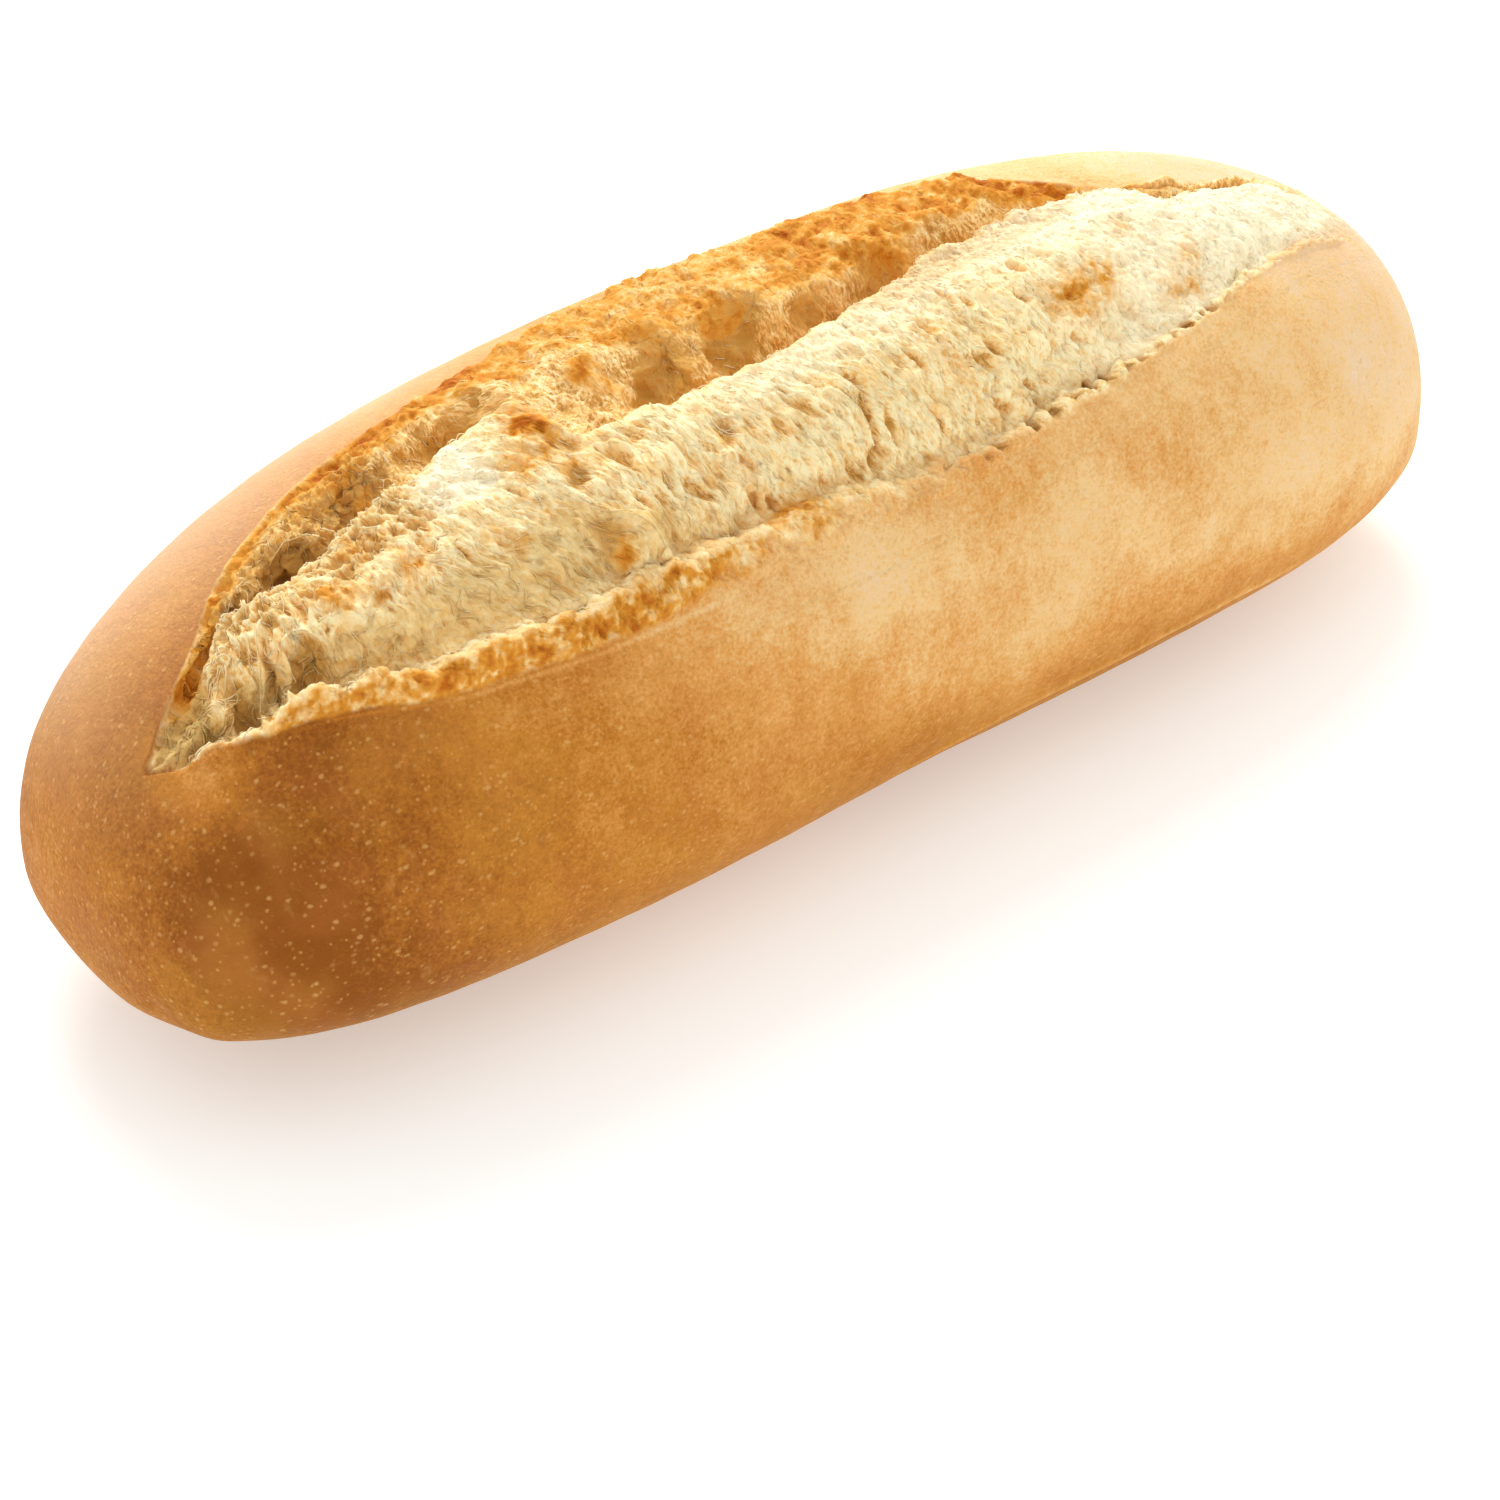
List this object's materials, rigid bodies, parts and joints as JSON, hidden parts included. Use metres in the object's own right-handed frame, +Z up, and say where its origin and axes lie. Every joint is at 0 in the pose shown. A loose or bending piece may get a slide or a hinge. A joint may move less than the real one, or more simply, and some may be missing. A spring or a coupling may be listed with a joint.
{
  "type": "bread roll",
  "caption": "Long white bread roll with rounded ends, a flat base, and a lengthwise slash burst open along its top.",
  "frame": {"origin": "centre of the roll's bounding box in plan, at the height of its flat base", "axes": "+X along the roll, from the deeper browned end to the paler end; +Z up; the bloom of the slash leans towards -Y and the furrow lies on its +Y side"},
  "size_m": [0.19, 0.0696, 0.058],
  "materials": {
    "crust": "golden-brown baked crust, dry and faintly satin, with pale cream crumb showing in the slash"
  },
  "bodies": {
    "root": {"bread_roll": "crust"}
  },
  "joints": []
}
